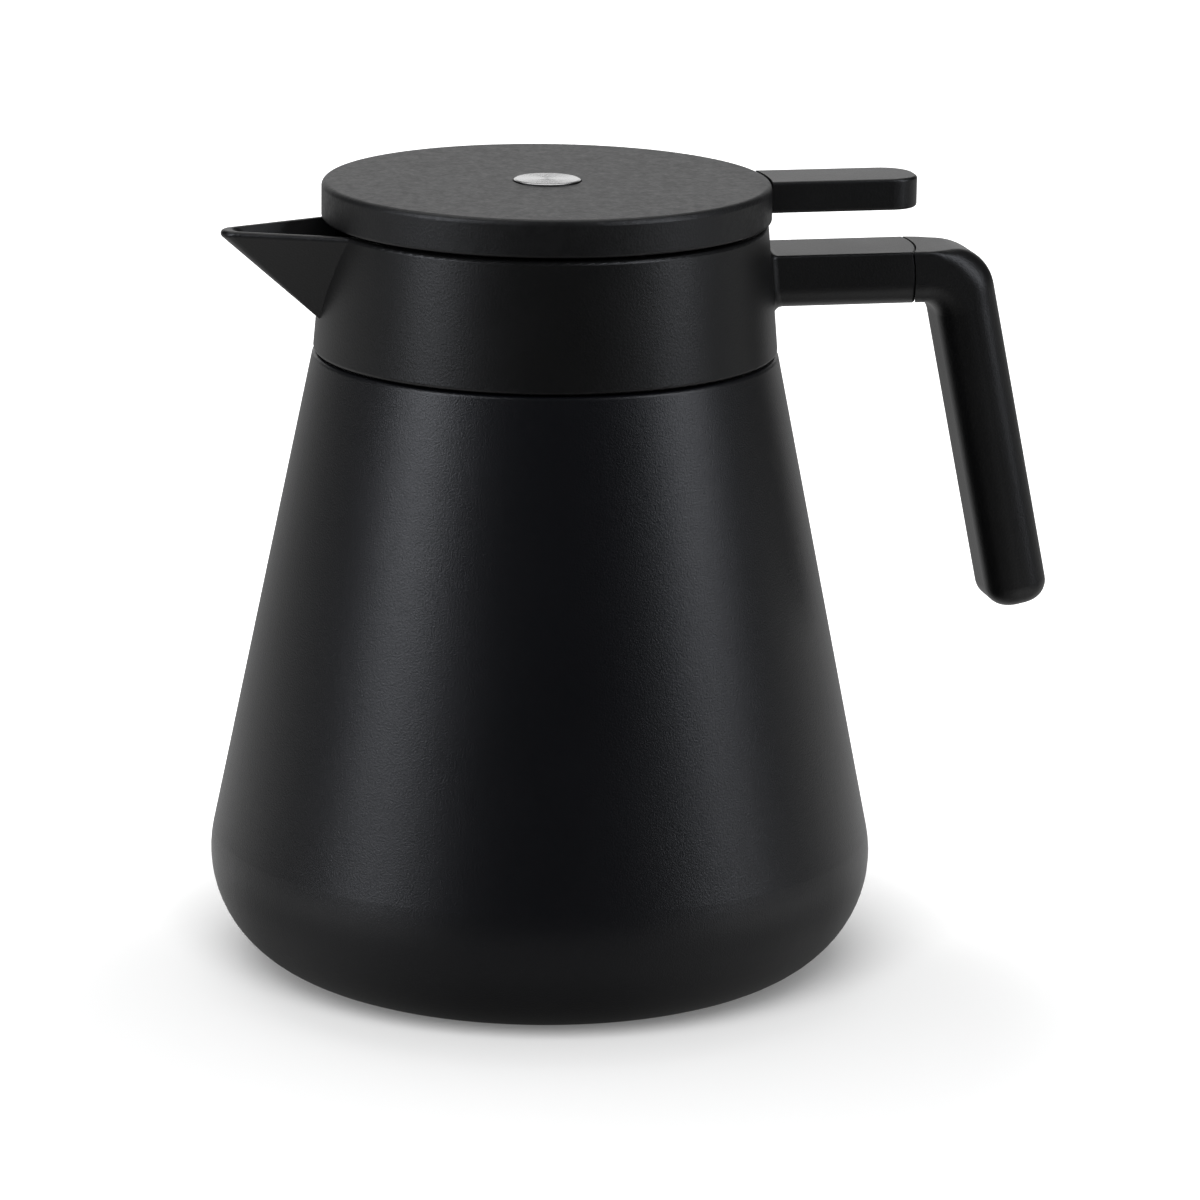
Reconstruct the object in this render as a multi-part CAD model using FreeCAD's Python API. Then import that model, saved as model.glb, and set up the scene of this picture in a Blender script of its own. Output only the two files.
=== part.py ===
import FreeCAD
import Part
import math
import os

# Vacuum serving jug. Millimetres, +Z up, +X towards the handle, spout at -X.
# The origin is the centre of the foot, on the surface that the jug stands on.

V = FreeCAD.Vector
UP = V(0, 0, 1)
ACROSS = V(0, 1, 0)

# Steel body
foot_rise = 0.8             # the soft foot lifts the steel off the table
body_height = 162.1         # steel underside to shoulder
body_angle = 11.5           # half angle of the cone, degrees
shell_top_radius = 59.7
foot_rounding = 30.2
foot_flat = 7.7             # turned-in bottom, from the rounding to its opening
steel_wall = 0.8
shell_edge_round = 1.0
vacuum_gap = 8.0
shoulder_width = 21.2       # shoulder's edge in to the mouth
neck_height = 7.1
neck_gap = 1.0              # between the two walls of the neck
liner_shoulder_round = 7.0
liner_neck_round = 3.0
base_plate_lap = 4.0
seal_hole_radius = 2.0
seal_bead_lap = 1.2
getter_radius = 8.0
getter_height = 2.5
foot_ring_width = 12.0
foot_ring_clear = 0.4

# Collar, pour dish and spout
seam_gap = 0.5
collar_height = 33.0
collar_draw = 3.0           # how much its top is drawn in from the body's shoulder
collar_wall = 3.0
collar_top_round = 1.0
collar_inner_round = 0.6
collar_bottom_round = 0.9
dish_fall = 3.0             # from the collar's wall down to the mouth
dish_wall = 2.5
lip_height = 2.0            # dish's edge above the gasket
gasket_height = 1.2
gasket_inset = 0.4
hub_wall = 2.5
part_clear = 0.3            # between pieces that slip past each other
spout_length = 29.0         # collar's top edge to the tip
spout_half_angle = 24.0     # of the spout in plan, degrees
spout_nose_round = 5.0
spout_wall = 2.6
spout_inner_nose_round = 3.6
spout_depth = 23.7          # rim down to where the keel leaves the collar
spout_point = 0.03          # share of the outline that is left at the keel's foot

# Handle
arm_width = 23.2
arm_drop = 8.6              # arm's top below the collar's rim
arm_height = 14.1
arm_length = 41.5           # collar's top edge to the crown of the joint with the grip
arm_edge_round = 0.7
arm_under_round = 5.5
arm_root_round = 2.2
arm_root_embed = 0.15
parting_dome = 40.0         # radius of the domed joint
parting_side = 5.0          # dome's centre behind the arm's middle
parting_gap = 0.25
parting_chamfer = 0.4
elbow_length = 17.3         # crown of the joint to the grip's outer face, along the arm's top
elbow_outer_round = 12.0
elbow_inner_round = 5.0
elbow_run = 1.5             # straight stretch at each end that is lofted with the bend
elbow_steps = 12
elbow_ease = 0.6            # share of the bend over which its edges take the grip's rounding
grip_lean = 11.7            # degrees from upright
grip_thickness = 16.3
grip_drop = 95.4            # arm's top to the middle of the grip's end
grip_edge_round = 7.3
grip_end_round = 5.5
round_share = 0.48          # most of a wall that each of its two roundings may take
tenon_width = 13.0
tenon_height = 7.5
tenon_length = 8.5
tenon_clear = 0.15
screw_radius = 2.0
screw_hole_clear = 0.15
screw_head_radius = 3.6
screw_head_height = 3.0
screw_well_clear = 0.8
screw_cap_height = 2.2
screw_cap_recess = 0.7
insert_wall = 1.2
insert_length = 6.0

# Lid
lid_gap = 1.0               # over the collar's rim
lid_overhang = 0.8          # past the collar's rim
lid_rim_height = 9.5
lid_top_round = 1.5
lid_bottom_round = 0.8
lid_wall = 2.4
lever_width = 18.9
lever_length = 39.5         # lid's rim to the tip
lever_top_drop = 0.3        # below the lid's top
lever_under_rise = 1.1      # above the lid's lower edge
lever_corner_round = 8.0
lever_edge_round = 0.8
lever_root_gap = 0.25
tongue_inset = 0.6          # the tongue is narrower than the lever
tongue_clear = 1.2          # between the tongue and the cover
frame_rise = 1.6            # above the lid's lower edge
frame_thickness = 2.4
button_radius = 8.6
button_proud = 0.6
button_seat_depth = 1.2
button_seat_clear = 0.25
button_edge_round = 0.5
lid_screw_count = 3
lid_screw_margin = 3.85     # screw heads to the plug's ring
lid_screw_radius = 1.25
lid_screw_head_radius = 3.0
lid_screw_head_height = 1.6
lid_boss_wall = 2.25
thread_clear = 0.05

# Stopper, plug and hinge
pivot_inset = 4.2           # pin's axis to the collar's inner edge
pivot_rise = 7.0            # pin's axis above the dish's rim
pin_radius = 1.5
pin_clear = 0.05
ear_eye_wall = 1.4
ear_wall = 3.5
cheek_eye_wall = 1.9
cheek_wall = 2.2
bridge_gap = 1.2            # between the bridge and the cheeks
stopper_wall = 2.6
spigot_length = 9.3         # below the flask's lip
stopper_top_rise = 2.6      # above the dish's mouth
stopper_flange_width = 7.5  # past the mouth
stopper_flange_wall = 1.8
neck_clear = 0.5
groove_rise = 2.5           # above the spigot's foot
groove_height = 4.0
groove_depth = 1.0
plug_overlap = 2.5          # plug's side past the mouth
plug_nose_clear = 2.4       # plug's nose inside the spigot
plug_nose_drop = 8.6        # below the stopper's top
plug_wall = 2.0
plug_slope = 3.0            # height of the cone under the plug's side
plug_ring_wall = 2.0
plug_ring_height = 4.0
seal_height = 1.5
seal_inset = 0.4
seat_gap = 0.3
foam_gap = 0.4
spring_wire_radius = 0.4
spring_pin_gap = 0.5
spring_turns = 4
spring_pitch = 1.25
spring_side_gap = 0.6
spring_leg = 8.0
spring_leg_in = 1.5         # how far the other leg stands in the bridge
spring_leg_lean = 20.0      # degrees from upright
spring_bar_radius = 1.3
spring_bar_gap = 0.1


def rad(degrees):
    return math.radians(degrees)


def limited(radius, wall):
    """A rounding, no larger than its wall has room for."""
    return min(radius, wall * round_share)


def profile_face(edges):
    wire = Part.Wire(Part.__sortEdges__(edges))
    return Part.Face(wire)


def line(a, b):
    return Part.LineSegment(V(a[0], 0, a[1]), V(b[0], 0, b[1])).toShape()


def arc(a, middle, b):
    return Part.Arc(V(a[0], 0, a[1]), V(middle[0], 0, middle[1]), V(b[0], 0, b[1])).toShape()


def turned(points):
    """Solid of revolution about Z from a closed outline of (radius, height) points."""
    edges = [line(a, b) for a, b in zip(points, points[1:] + points[:1])]
    return turned_edges(edges)


def turned_edges(edges):
    return profile_face(edges).revolve(V(0, 0, 0), UP, 360)


def ring(inner, outer, low, high):
    body = Part.makeCylinder(outer, high - low, V(0, 0, low))
    if inner <= 0:
        return body
    return body.cut(Part.makeCylinder(inner, high - low, V(0, 0, low)))


def rod_x(radius, start, end, z):
    return Part.makeCylinder(radius, end - start, V(start, 0, z), V(1, 0, 0))


def rod_y(radius, start, end, x, z):
    return Part.makeCylinder(radius, end - start, V(x, start, z), ACROSS)


def block(low, high):
    return Part.makeBox(high[0] - low[0], high[1] - low[1], high[2] - low[2], V(*low))


def circles_at(shape, radius, z):
    """Round edges about the axis with this radius and height."""
    found = []
    for edge in shape.Edges:
        curve = edge.Curve
        if isinstance(curve, Part.Circle) and abs(curve.Radius - radius) < 0.01:
            if abs(curve.Center.z - z) < 0.01 and abs(curve.Axis.z) > 0.99:
                found.append(edge)
    return found


def save(name, shape):
    shape = shape.removeSplitter() if shape.ShapeType != "Compound" else shape
    assert shape.isValid(), name
    print(name, len(shape.Solids), round(shape.Volume, 1))
    shape.exportStep("parts/" + name + ".step")


# Steel body

shell_top_z = foot_rise + body_height
neck_top_z = shell_top_z + neck_height
neck_radius = shell_top_radius - shoulder_width


def cone_radius(z, inset):
    """Radius of the body's cone at a height, moved in by a wall measured square to it."""
    drop = shell_top_z - z
    return shell_top_radius + drop * math.tan(rad(body_angle)) - inset / math.cos(rad(body_angle))


round_centre_z = foot_rise + foot_rounding
round_centre_r = cone_radius(round_centre_z, foot_rounding)
foot_opening_radius = round_centre_r - foot_flat


def cone_wall(inset, top_z, bottom_r):
    """Edges from the bottom's inner edge, round the foot and up the cone, with their ends."""
    radius = foot_rounding - inset
    a = rad(body_angle)
    bottom = (bottom_r, foot_rise + inset)
    low = (round_centre_r, foot_rise + inset)
    half = (a - math.pi / 2) / 2
    middle = (round_centre_r + radius * math.cos(half), round_centre_z + radius * math.sin(half))
    high = (round_centre_r + radius * math.cos(a), round_centre_z + radius * math.sin(a))
    top = (cone_radius(top_z, inset), top_z)
    return [line(bottom, low), arc(low, middle, high), line(high, top)], bottom, top


neck_outer = neck_radius + steel_wall
shell_neck_inner = neck_outer + neck_gap
shell_neck_outer = shell_neck_inner + steel_wall


def make_outer_shell():
    shoulder_under = shell_top_z - steel_wall
    outside, out_low, out_top = cone_wall(0, shell_top_z, foot_opening_radius)
    inside, in_low, in_top = cone_wall(steel_wall, shoulder_under, foot_opening_radius)
    edges = outside + inside + [
        line(out_low, in_low),
        line(out_top, (shell_neck_outer, shell_top_z)),
        line((shell_neck_outer, shell_top_z), (shell_neck_outer, neck_top_z)),
        line((shell_neck_outer, neck_top_z), (shell_neck_inner, neck_top_z)),
        line((shell_neck_inner, neck_top_z), (shell_neck_inner, shoulder_under)),
        line((shell_neck_inner, shoulder_under), in_top),
    ]
    shell = turned_edges(edges)
    return shell.makeFillet(shell_edge_round, circles_at(shell, shell_top_radius, shell_top_z))


lip_top_z = neck_top_z + steel_wall
liner_outer_inset = steel_wall + vacuum_gap
liner_inner_inset = liner_outer_inset + steel_wall
liner_shoulder_z = shell_top_z - steel_wall - vacuum_gap
liner_under_z = foot_rise + liner_outer_inset


def make_inner_liner():
    inner_shoulder = liner_shoulder_z - steel_wall
    outside, out_low, out_top = cone_wall(liner_outer_inset, liner_shoulder_z, 0)
    inside, in_low, in_top = cone_wall(liner_inner_inset, inner_shoulder, 0)
    edges = outside + inside + [
        line(out_low, in_low),
        line(out_top, (neck_outer, liner_shoulder_z)),
        line((neck_outer, liner_shoulder_z), (neck_outer, neck_top_z)),
        line((neck_outer, neck_top_z), (shell_neck_outer, neck_top_z)),
        line((shell_neck_outer, neck_top_z), (shell_neck_outer, lip_top_z)),
        line((shell_neck_outer, lip_top_z), (neck_radius, lip_top_z)),
        line((neck_radius, lip_top_z), (neck_radius, inner_shoulder)),
        line((neck_radius, inner_shoulder), in_top),
    ]
    liner = turned_edges(edges)
    room = out_top[0] - neck_outer
    outer_round = limited(liner_shoulder_round, room)
    neck_round = limited(liner_neck_round, room - outer_round)
    rounded = [
        (outer_round, out_top[0], liner_shoulder_z),
        (outer_round - steel_wall, in_top[0], inner_shoulder),
        (neck_round, neck_outer, liner_shoulder_z),
        (neck_round + steel_wall, neck_radius, inner_shoulder),
    ]
    for size, radius, z in rounded:
        liner = liner.makeFillet(size, circles_at(liner, radius, z))
    return liner


base_under_z = foot_rise + steel_wall
base_top_z = base_under_z + steel_wall


def make_base_plate():
    return ring(seal_hole_radius, foot_opening_radius + base_plate_lap, base_under_z, base_top_z)


def make_vacuum_seal():
    stem = ring(0, seal_hole_radius, base_under_z, base_top_z)
    bead = ring(0, seal_hole_radius + seal_bead_lap, base_top_z, base_top_z + steel_wall)
    return stem.fuse(bead)


def make_getter():
    return ring(0, getter_radius, liner_under_z - getter_height, liner_under_z)


def make_foot_ring():
    outer = foot_opening_radius - foot_ring_clear
    foot = ring(outer - foot_ring_width, outer, 0, base_under_z)
    edges = circles_at(foot, outer, 0) + circles_at(foot, outer - foot_ring_width, 0)
    return foot.makeFillet(foot_rise / 2, edges)


# Collar

collar_bottom_z = shell_top_z + seam_gap
collar_bottom_radius = cone_radius(collar_bottom_z, 0)
collar_top_z = collar_bottom_z + collar_height
collar_top_radius = shell_top_radius - collar_draw
collar_taper = (collar_bottom_radius - collar_top_radius) / (collar_top_z - collar_bottom_z)
gasket_top_z = lip_top_z + gasket_height
dish_mouth_z = gasket_top_z + lip_height
dish_rim_z = dish_mouth_z + dish_fall
hub_inner = shell_neck_outer + part_clear
hub_outer = hub_inner + hub_wall


def collar_radius(z):
    return collar_bottom_radius - (z - collar_bottom_z) * collar_taper


def dish_z(radius):
    """Top of the pour dish at a radius."""
    wall = collar_radius(dish_rim_z) - collar_wall
    return dish_mouth_z + dish_fall * (radius - neck_radius) / (wall - neck_radius)


def collar_ring():
    rim_in = collar_radius(dish_rim_z) - collar_wall
    under_rim_z = dish_rim_z - dish_wall
    under_in = collar_radius(under_rim_z) - collar_wall
    hub_top_z = dish_z(hub_outer) - dish_wall
    body = turned([
        (collar_bottom_radius, collar_bottom_z),
        (collar_top_radius, collar_top_z),
        (collar_top_radius - collar_wall, collar_top_z),
        (rim_in, dish_rim_z),
        (neck_radius, dish_mouth_z),
        (neck_radius, gasket_top_z),
        (hub_inner, gasket_top_z),
        (hub_inner, shell_top_z),
        (hub_outer, shell_top_z),
        (hub_outer, hub_top_z),
        (under_in, under_rim_z),
        (collar_bottom_radius - collar_wall, collar_bottom_z),
    ])
    return body.makeFillet(collar_bottom_round, circles_at(body, collar_bottom_radius, collar_bottom_z))


def spout_outline(vertex_x, nose_round, back_x):
    """V in plan with a rounded nose: its sides meet at vertex_x and run back to back_x."""
    half = rad(spout_half_angle)
    touch = nose_round / math.tan(half)
    centre_x = vertex_x + nose_round / math.sin(half)
    touch_x = vertex_x + touch * math.cos(half)
    touch_y = touch * math.sin(half)
    back_y = (back_x - vertex_x) * math.tan(half)
    z = collar_top_z
    near = Part.LineSegment(V(back_x, -back_y, z), V(touch_x, -touch_y, z)).toShape()
    tip = V(centre_x - nose_round, 0, z)
    nose = Part.Arc(V(touch_x, -touch_y, z), tip, V(touch_x, touch_y, z)).toShape()
    far = Part.LineSegment(V(touch_x, touch_y, z), V(back_x, back_y, z)).toShape()
    back = Part.LineSegment(V(back_x, back_y, z), V(back_x, -back_y, z)).toShape()
    return Part.Wire([near, nose, far, back])


spout_reach = collar_top_radius + spout_length
spout_slope = math.tan(rad(spout_half_angle))
spout_vertex_x = -spout_reach - spout_nose_round * (1 / math.sin(rad(spout_half_angle)) - 1)
spout_inner_vertex_x = spout_vertex_x + spout_wall / math.sin(rad(spout_half_angle))


def side_meets(radius):
    """X where the spout's sides cross a circle about the axis."""
    square = spout_slope ** 2
    spread = radius ** 2 * (1 + square) - spout_vertex_x ** 2 * square
    return (spout_vertex_x * square - math.sqrt(spread)) / (1 + square)


spout_back_x = side_meets(collar_top_radius - collar_wall)


def pointed(outline, apex):
    """Solid that narrows from an outline towards a point below it, ending just short of the point."""
    end = outline.copy()
    end.scale(spout_point, apex)
    return Part.makeLoft([outline, end], True, True)


def wall_core():
    """The space inside the collar, out to the middle of its wall."""
    inset = collar_wall / 2
    foot = V(0, 0, collar_bottom_z)
    return Part.makeCone(collar_bottom_radius - inset, collar_top_radius - inset, collar_height, foot)


def make_spout():
    """Spout that narrows down to its keel, with its back inside the collar's wall."""
    keel_foot_z = collar_top_z - spout_depth
    keel_x = -collar_radius(keel_foot_z)
    rise = spout_depth / (spout_reach + keel_x)
    apex = V(keel_x + collar_wall / 2, 0, keel_foot_z - rise * collar_wall / 2)
    return pointed(spout_outline(spout_vertex_x, spout_nose_round, spout_back_x), apex).cut(wall_core())


def make_spout_channel():
    wall_x = -(collar_radius(dish_rim_z) - collar_wall)
    apex = V(wall_x + collar_wall, 0, dish_rim_z)
    back_x = -(collar_top_radius - 2 * collar_wall) * math.cos(rad(spout_half_angle))
    outline = spout_outline(spout_inner_vertex_x, spout_inner_nose_round, back_x)
    outline.scale(1 + collar_wall / (collar_top_z - dish_rim_z), apex)
    return pointed(outline, apex)


def rim_edges(shape, outside):
    """Edges round the level rim of collar and spout, on its outer or its inner side."""
    level = [f for f in shape.Faces if f.BoundBox.ZLength < 0.01]
    rim = [f for f in level if abs(f.BoundBox.ZMin - collar_top_z) < 0.01]
    loops = sorted((w for f in rim for w in f.Wires), key=lambda w: w.BoundBox.XLength)
    return loops[-1].Edges if outside else loops[0].Edges


# Handle

arm_half_width = arm_width / 2
arm_top_z = collar_top_z - arm_drop
arm_under_z = arm_top_z - arm_height
arm_axis_z = arm_top_z - arm_height / 2
arm_root_x = math.sqrt(collar_radius(arm_top_z) ** 2 - arm_half_width ** 2) - arm_root_embed
parting_x = collar_top_radius + arm_length
parting_spread = (arm_half_width + parting_side) ** 2 + arm_height ** 2 / 4
parting_fall = parting_dome - math.sqrt(parting_dome ** 2 - parting_spread)
pivot_x = collar_top_radius - collar_wall - pivot_inset
pivot_z = dish_rim_z + pivot_rise
screw_well_radius = screw_head_radius + screw_well_clear
screw_cap_x = collar_radius(arm_axis_z) - collar_wall + screw_cap_recess
screw_head_x = screw_cap_x + screw_cap_height
screw_seat_x = screw_head_x + screw_head_height
insert_radius = screw_radius + insert_wall


def section(origin, out, half_width, low, high, round_low, round_high):
    """Rounded rectangle across a bar: out points to its outer side, low and high lie along it."""
    def at(y, n):
        return origin + out * n + ACROSS * y

    def corner(y, n, dy, dn, r):
        bend = r * (1 - math.sqrt(0.5))
        first = at(y - dy * r, n)
        middle = at(y - dy * bend, n - dn * bend)
        last = at(y, n - dn * r)
        return first, middle, last

    b = half_width
    upper_far = corner(b, high, 1, 1, round_high)
    lower_far = corner(b, low, 1, -1, round_low)
    lower_near = corner(-b, low, -1, -1, round_low)
    upper_near = corner(-b, high, -1, 1, round_high)
    edges = [
        Part.LineSegment(upper_near[0], upper_far[0]).toShape(),
        Part.Arc(*upper_far).toShape(),
        Part.LineSegment(upper_far[2], lower_far[2]).toShape(),
        Part.Arc(lower_far[2], lower_far[1], lower_far[0]).toShape(),
        Part.LineSegment(lower_far[0], lower_near[0]).toShape(),
        Part.Arc(*lower_near).toShape(),
        Part.LineSegment(lower_near[2], upper_near[2]).toShape(),
        Part.Arc(upper_near[2], upper_near[1], upper_near[0]).toShape(),
    ]
    return Part.Wire(edges)


def arm_section(x):
    under_round = limited(arm_under_round, arm_height)
    return section(V(x, 0, arm_under_z), UP, arm_half_width, 0, arm_height, under_round, arm_edge_round)


def dome(extra):
    return Part.makeSphere(parting_dome + extra, V(parting_x - parting_dome, parting_side, arm_axis_z))


def make_arm():
    bar = Part.Face(arm_section(arm_root_x)).extrude(V(parting_x - arm_root_x, 0, 0))
    bar = bar.common(dome(0))
    end_edges = [e for e in bar.Edges if e.BoundBox.XMin > parting_x - parting_fall - parting_chamfer]
    bar = bar.makeChamfer(parting_chamfer, end_edges)
    tenon = block(
        (parting_x - tenon_length, -tenon_width / 2, arm_axis_z - tenon_height / 2),
        (parting_x + tenon_length, tenon_width / 2, arm_axis_z + tenon_height / 2),
    )
    return bar.fuse(tenon)


def root_edges(shape):
    """Edges where the arm leaves the collar's outer wall."""
    found = []
    for edge in shape.Edges:
        box = edge.BoundBox
        beside = box.XMin > arm_root_x and box.XMax < collar_bottom_radius
        level = box.ZMin > arm_under_z - arm_root_round and box.ZMax < arm_top_z + arm_root_round
        if beside and level and box.YLength < 2 * arm_half_width:
            found.append(edge)
    return found


def make_collar():
    body = collar_ring().fuse(make_spout()).cut(make_spout_channel()).removeSplitter()
    body = body.makeFillet(collar_top_round, rim_edges(body, True))
    inner_round = limited(collar_inner_round, spout_wall - collar_top_round)
    body = body.makeFillet(inner_round, rim_edges(body, False))
    body = body.fuse(make_arm())
    body = body.makeFillet(arm_root_round, root_edges(body))
    hole = rod_x(screw_radius + screw_hole_clear, pivot_x, parting_x + 2 * tenon_length, arm_axis_z)
    well = rod_x(screw_well_radius, pivot_x, screw_seat_x, arm_axis_z)
    return body.cut(hole).cut(well)


def make_neck_gasket():
    return ring(neck_radius + gasket_inset, hub_inner - gasket_inset, lip_top_z, gasket_top_z)


grip_down = V(math.sin(rad(grip_lean)), 0, -math.cos(rad(grip_lean)))
grip_out = V(math.cos(rad(grip_lean)), 0, math.sin(rad(grip_lean)))
outer_point = V(parting_x + elbow_length, 0, arm_top_z)
inner_point = outer_point - grip_out * grip_thickness


def line_x(point, z):
    """X of a line that runs along the grip through a point, at a height."""
    return point.x - (z - point.z) * math.tan(rad(grip_lean))


def corner_centre(point, face_z, radius):
    """Centre of the arc that rounds the corner of a level face and a line along the grip."""
    z = face_z - radius
    return V(line_x(point, z) - radius / math.cos(rad(grip_lean)), 0, z)


fan_centre = corner_centre(inner_point, arm_under_z, elbow_inner_round)
elbow_centre = corner_centre(outer_point, arm_top_z, elbow_outer_round)


def outer_distance(out):
    """From the fan's centre to the elbow's outer side: level top, round corner or grip."""
    level = (arm_top_z - fan_centre.z) / out.z
    if fan_centre.x + level * out.x <= elbow_centre.x:
        return level
    along = elbow_centre - fan_centre
    near = along.dot(out)
    side = along.dot(along) - near * near
    reach = near + math.sqrt(elbow_outer_round ** 2 - side)
    hit = fan_centre + out * reach
    if (hit - elbow_centre).dot(grip_down) > 0:
        return (outer_point - fan_centre).dot(grip_out) / out.dot(grip_out)
    return reach


def eased(t):
    return t * t * (3 - 2 * t)


def elbow_section(turn):
    """Section of the bend: turn runs from 0 at the arm to 1 at the grip."""
    angle = rad(90 - turn * (90 - grip_lean))
    out = V(math.cos(angle), 0, math.sin(angle))
    grip_round = limited(grip_edge_round, grip_thickness)
    under_round = limited(arm_under_round, arm_height)
    high_round = arm_edge_round + (grip_round - arm_edge_round) * eased(min(1, turn / elbow_ease))
    low_round = under_round + (grip_round - under_round) * turn
    return section(
        fan_centre, out, arm_half_width, elbow_inner_round, outer_distance(out), low_round, high_round,
    )


def make_handle_grip():
    bend_x = fan_centre.x - elbow_run
    start_x = bend_x - tenon_length
    stub = Part.Face(arm_section(start_x)).extrude(V(bend_x - start_x, 0, 0))
    top = elbow_section(1).translated(grip_down * elbow_run)
    bends = [elbow_section(i / elbow_steps) for i in range(elbow_steps + 1)]
    bend = Part.makeLoft([arm_section(bend_x)] + bends + [top], True, False)
    axis_z = (fan_centre + grip_out * (elbow_inner_round + grip_thickness / 2)).z
    length = (axis_z - arm_top_z + grip_drop) / math.cos(rad(grip_lean))
    bar = Part.Face(top).extrude(grip_down * (length - elbow_run))
    end = fan_centre + grip_down * length
    end_edges = [e for e in bar.Edges if (e.CenterOfMass - end).dot(grip_down) > -0.01]
    bar = bar.makeFillet(limited(grip_end_round, grip_thickness), end_edges)
    grip = stub.fuse([bend, bar]).cut(dome(parting_gap))
    socket_end = parting_x + tenon_length + tenon_clear
    side = tenon_width / 2 + tenon_clear
    half = tenon_height / 2 + tenon_clear
    grip = grip.cut(block((start_x, -side, arm_axis_z - half), (socket_end, side, arm_axis_z + half)))
    return grip.cut(rod_x(insert_radius, start_x, socket_end + insert_length, arm_axis_z))


def make_grip_insert():
    start = parting_x + tenon_length + tenon_clear
    sleeve = rod_x(insert_radius, start, start + insert_length, arm_axis_z)
    return sleeve.cut(rod_x(screw_radius + thread_clear, start, start + insert_length, arm_axis_z))


def make_grip_screw():
    end = parting_x + tenon_length + tenon_clear + insert_length
    shank = rod_x(screw_radius, screw_seat_x, end, arm_axis_z)
    head = rod_x(screw_head_radius, screw_head_x, screw_seat_x, arm_axis_z)
    return shank.fuse(head)


def make_screw_cap():
    return rod_x(screw_well_radius - thread_clear, screw_cap_x, screw_head_x, arm_axis_z)


# Spring round the hinge pin

spring_coil_radius = pin_radius + spring_pin_gap + spring_wire_radius
spring_sweep = 360 * spring_turns - spring_leg_lean
spring_width = spring_pitch * spring_sweep / 360
spring_arcs = 4 * spring_turns


def spring_point(share):
    """Point on the coil: it starts at the front, upwards, and ends at the front, leaning forward."""
    angle = rad(180 - share * spring_sweep)
    return V(
        pivot_x + spring_coil_radius * math.cos(angle),
        (share - 0.5) * spring_width,
        pivot_z + spring_coil_radius * math.sin(angle),
    )


def spring_leg_point(length):
    """Point on the leaning leg, which leaves the coil's end in line with it."""
    a = rad(spring_leg_lean)
    return spring_point(1) + V(-math.sin(a), 0, math.cos(a)) * length


# Stopper

spigot_outer = neck_radius - neck_clear
spigot_inner = spigot_outer - stopper_wall
stopper_foot_z = lip_top_z - spigot_length
stopper_top_z = dish_mouth_z + stopper_top_rise
stopper_flange_radius = neck_radius + stopper_flange_width
groove_z = stopper_foot_z + groove_rise
groove_radius = spigot_outer - groove_depth
plug_radius = neck_radius + plug_overlap
cheek_round = pin_radius + cheek_eye_wall
cheek_inner_y = spring_width / 2 + spring_wire_radius + spring_side_gap
cheek_outer_y = cheek_inner_y + cheek_wall
ear_round = pin_radius + ear_eye_wall
ear_inner_y = cheek_outer_y + part_clear
ear_outer_y = ear_inner_y + ear_wall
bridge_top_z = pivot_z - cheek_round - bridge_gap


def make_stopper_ring():
    flange_under = dish_z(stopper_flange_radius) + seat_gap
    body = turned([
        (spigot_inner, stopper_foot_z),
        (spigot_outer, stopper_foot_z),
        (spigot_outer, dish_mouth_z + seat_gap),
        (stopper_flange_radius, flange_under),
        (stopper_flange_radius, flange_under + stopper_flange_wall),
        (spigot_outer, stopper_top_z),
        (spigot_inner, stopper_top_z),
    ])
    body = body.cut(ring(groove_radius, neck_radius, groove_z, groove_z + groove_height))
    ear_low = dish_z(math.hypot(pivot_x + ear_round, ear_outer_y)) + seat_gap
    bridge = block(
        (plug_radius + part_clear, -ear_outer_y, ear_low),
        (pivot_x + ear_round, ear_outer_y, bridge_top_z),
    )
    body = body.fuse(bridge)
    for side in (-1, 1):
        low_y = min(side * ear_inner_y, side * ear_outer_y)
        high_y = max(side * ear_inner_y, side * ear_outer_y)
        post = block((pivot_x - ear_round, low_y, ear_low), (pivot_x + ear_round, high_y, pivot_z))
        body = body.fuse(post).fuse(rod_y(ear_round, low_y, high_y, pivot_x, pivot_z))
    leg_hole = Part.makeCylinder(
        spring_wire_radius + part_clear, pivot_z - ear_low, spring_point(0) - UP * (pivot_z - ear_low),
    )
    body = body.cut(leg_hole)
    return body.cut(rod_y(pin_radius + thread_clear, -ear_outer_y, ear_outer_y, pivot_x, pivot_z))


def make_stopper_gasket():
    return ring(groove_radius, neck_radius - seat_gap, groove_z, groove_z + groove_height)


def make_hinge_pin():
    return rod_y(pin_radius, -ear_outer_y, ear_outer_y, pivot_x, pivot_z)


def make_lid_spring():
    """Open coil round the pin: one leg stands in the bridge, the other presses on the lid's bar."""
    edges = []
    foot = spring_point(0) - UP * (pivot_z - bridge_top_z + spring_leg_in)
    edges.append(Part.LineSegment(foot, spring_point(0)).toShape())
    for i in range(spring_arcs):
        ends = [spring_point((i + share) / spring_arcs) for share in (0, 0.5, 1)]
        edges.append(Part.Arc(*ends).toShape())
    edges.append(Part.LineSegment(spring_point(1), spring_leg_point(spring_leg)).toShape())
    wire_section = Part.Wire(Part.makeCircle(spring_wire_radius, foot, UP))
    return Part.Wire(edges).makePipeShell([wire_section], True, False)


# Lid

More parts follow.
